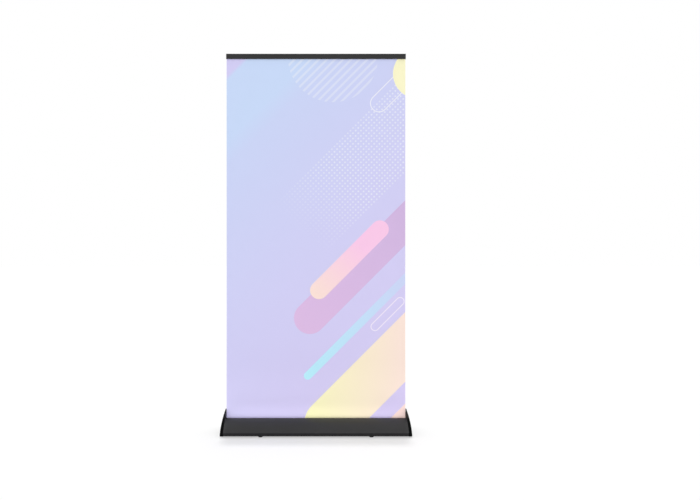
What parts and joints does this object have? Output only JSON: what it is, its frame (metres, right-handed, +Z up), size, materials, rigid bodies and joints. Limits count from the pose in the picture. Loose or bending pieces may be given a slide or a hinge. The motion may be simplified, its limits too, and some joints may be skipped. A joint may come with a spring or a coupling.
{
  "type": "roll-up banner stand",
  "caption": "Roll-up banner stand: wide cassette base with a spring roller, a pull-up printed sheet, a clamp rail and a sectional mast.",
  "frame": {"origin": "on the floor at the middle of the base's footprint", "axes": "+Z up; the printed side faces -Y; +X to the right as seen from the front"},
  "size_m": [1.042, 0.2001, 2.1165],
  "materials": {
    "black_extrusion": "satin black powder coat on an aluminium extrusion",
    "cap_plastic": "glossy black moulded plastic",
    "screw_steel": "blackened steel",
    "roller_aluminium": "mill finish",
    "leader_film": "plain film",
    "plug_plastic": "moulded",
    "bright_steel": "turned",
    "bush_plastic": "natural moulded plastic",
    "spring_steel": "drawn spring wire",
    "printed_sheet": "printed film, plain grey behind",
    "rail_aluminium": "satin black anodised",
    "grip_rubber": "soft strip",
    "mast_metal": "satin black anodised tube",
    "hook_plastic": "moulded black",
    "cord_fabric": "braided elastic cord",
    "foot_rubber": "moulded"
  },
  "bodies": {
    "base": {"base_housing": "black_extrusion", "front_cover": "black_extrusion", "end_cap_left": "cap_plastic", "end_cap_right": "cap_plastic", "cap_screws": "screw_steel", "socket_screws": "screw_steel", "idler_bush": "bush_plastic", "shaft_seat": "bush_plastic", "spring_shaft": "bright_steel", "spring_anchor": "plug_plastic", "torsion_spring": "spring_steel", "mast_socket": "hook_plastic", "foot_inserts": "bright_steel"},
    "roller": {"roller_tube": "roller_aluminium", "leader_film": "leader_film", "drive_plug": "plug_plastic", "idler_plug": "plug_plastic", "idler_pin": "bright_steel"},
    "rail": {"rail_back": "rail_aluminium", "rail_grip_strip": "grip_rubber", "rail_end_caps": "hook_plastic", "banner_graphic": "printed_sheet"},
    "rail_jaw": {"rail_front_jaw": "rail_aluminium"},
    "mast_lower": {"mast_lower": "mast_metal", "mast_foot_plug": "hook_plastic", "spigot_lower": "plug_plastic", "bungee_cord": "cord_fabric"},
    "mast_middle": {"mast_middle": "mast_metal", "spigot_upper": "plug_plastic"},
    "mast_upper": {"mast_upper": "mast_metal", "mast_hook": "hook_plastic"},
    "foot_front_left": {"foot_pad_front_left": "foot_rubber", "foot_stud_front_left": "bright_steel"},
    "foot_front_right": {"foot_pad_front_right": "foot_rubber", "foot_stud_front_right": "bright_steel"},
    "foot_rear_left": {"foot_pad_rear_left": "foot_rubber", "foot_stud_rear_left": "bright_steel"},
    "foot_rear_right": {"foot_pad_rear_right": "foot_rubber", "foot_stud_rear_right": "bright_steel"}
  },
  "joints": [
    {"name": "banner_retract", "type": "slide", "parent": "base", "child": "rail", "axis": [0, 0, -1], "range_m": [0, 1.99], "stiffness_N_per_m": 2, "springref_m": -7, "deforming": ["banner_graphic"]},
    {"name": "roller_spin", "type": "hinge", "parent": "base", "child": "roller", "pos_m": [0, -0.0083, 0.036], "axis": [1, 0, 0], "continuous": true},
    {"name": "rail_jaw_hinge", "type": "hinge", "parent": "rail", "child": "rail_jaw", "pos_m": [0, 0.0065, 2.1092], "axis": [-1, 0, 0], "range_deg": [0, 50]},
    {"name": "mast_lift", "type": "slide", "parent": "base", "child": "mast_lower", "axis": [0, 0, 1], "range_m": [0, 0.08]},
    {"name": "mast_middle_pull", "type": "slide", "parent": "mast_lower", "child": "mast_middle", "axis": [0, 0, 1], "range_m": [0, 0.058], "deforming": ["bungee_cord"]},
    {"name": "mast_upper_pull", "type": "slide", "parent": "mast_middle", "child": "mast_upper", "axis": [0, 0, 1], "range_m": [0, 0.058], "deforming": ["bungee_cord"]},
    {"name": "foot_front_left_height", "type": "slide", "parent": "base", "child": "foot_front_left", "axis": [0, 0, -1], "range_m": [0, 0.006]},
    {"name": "foot_front_right_height", "type": "slide", "parent": "base", "child": "foot_front_right", "axis": [0, 0, -1], "range_m": [0, 0.006]},
    {"name": "foot_rear_left_height", "type": "slide", "parent": "base", "child": "foot_rear_left", "axis": [0, 0, -1], "range_m": [0, 0.006]},
    {"name": "foot_rear_right_height", "type": "slide", "parent": "base", "child": "foot_rear_right", "axis": [0, 0, -1], "range_m": [0, 0.006]}
  ],
  "couplings": [
    {"joint": "roller_spin", "follows": "banner_retract", "rad_per_m": -51.28}
  ]
}
